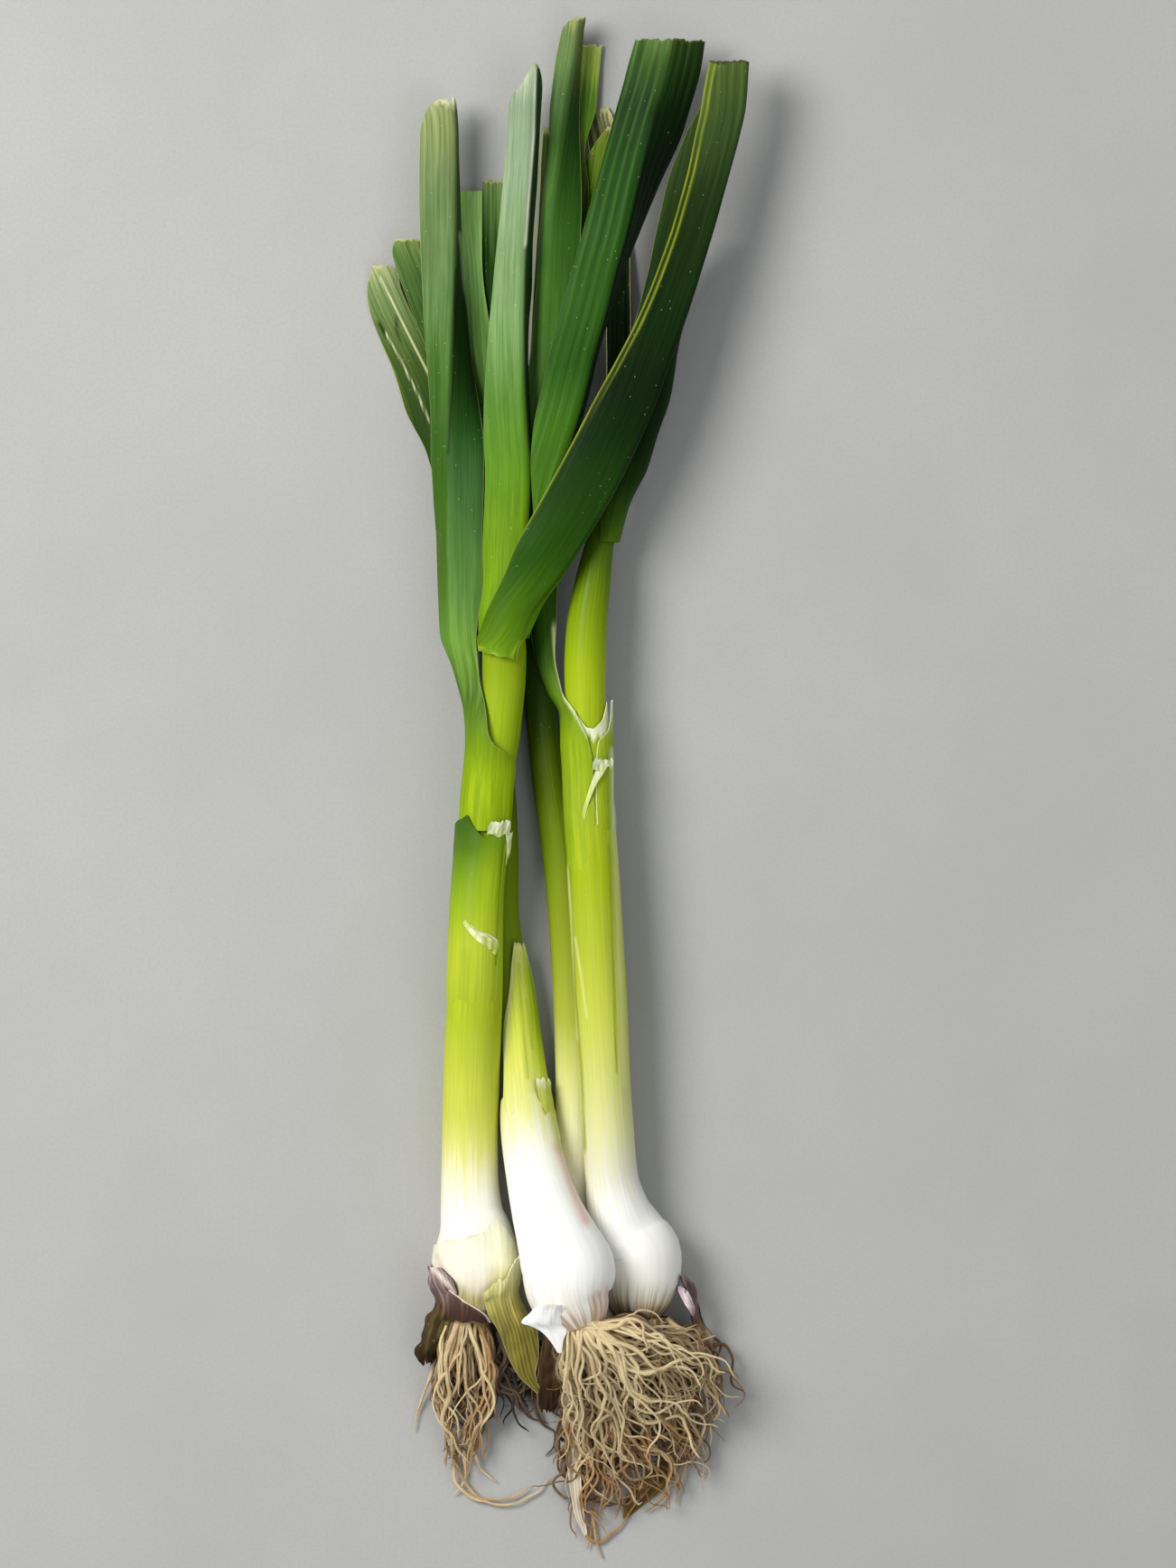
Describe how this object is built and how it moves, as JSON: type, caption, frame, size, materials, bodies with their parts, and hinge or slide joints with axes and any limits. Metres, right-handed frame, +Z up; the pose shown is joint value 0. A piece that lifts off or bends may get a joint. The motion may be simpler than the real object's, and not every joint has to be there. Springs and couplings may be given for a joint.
{
  "type": "bunch of green garlic plants",
  "caption": "Bunch of young green garlic lying flat: white bulbs with bushy straw roots at one end, yellow-green stems, and long keeled green leaves cut off at the other.",
  "frame": {"origin": "centre of the bunch's footprint, on the table it lies on", "axes": "+Y from the roots to the cut leaf ends, +Z up from the table, +X to the right seen from above with the leaves at the top"},
  "size_m": [0.1358, 0.5506, 0.0496],
  "materials": {
    "stalk_white_green": "moist, white at the bulb and yellow-green up the stem",
    "leaf_green": "waxy, finely ribbed along its length",
    "leaf_dark_green": "waxy, dark, finely ribbed along its length",
    "leaf_yellow_green": "waxy, yellowing, finely ribbed along its length",
    "sheath_white": "thin papery skin",
    "skin_olive": "dry wrinkled skin",
    "skin_brown": "dry brown husk",
    "root_straw": "dry fibrous root",
    "root_dark": "dark dry root"
  },
  "bodies": {
    "root": {"a_stalk": "stalk_white_green", "b_stalk": "stalk_white_green", "c_stalk": "stalk_white_green", "d_stalk": "stalk_white_green", "a_leaf_left": "leaf_green", "a_leaf_centre": "leaf_green", "a_leaf_ribbed": "leaf_green", "a_leaf_front": "leaf_dark_green", "b_leaf_outer": "leaf_yellow_green", "b_leaf_second": "leaf_green", "b_leaf_flat": "leaf_green", "b_leaf_inner": "leaf_green", "c_leaf_tall": "leaf_green", "c_leaf_under": "leaf_dark_green", "c_leaf_hollow": "leaf_dark_green", "d_leaf_lime": "leaf_yellow_green", "d_leaf_yellow": "leaf_yellow_green", "d_leaf_strip": "leaf_green", "b_sheath_stub": "leaf_yellow_green", "a_sheath_lip": "sheath_white", "c_sheath_lip": "sheath_white", "c_sheath_peel": "sheath_white", "a_skin_olive": "skin_olive", "a_skin_brown": "skin_brown", "b_skin_star": "sheath_white", "c_skin_side": "skin_brown", "d_skin_paper": "sheath_white", "d_skin_olive": "skin_olive", "a_roots_straw": "root_straw", "a_roots_dark": "root_dark", "b_roots": "root_straw", "c_roots": "root_straw", "d_roots": "root_straw"}
  },
  "joints": []
}
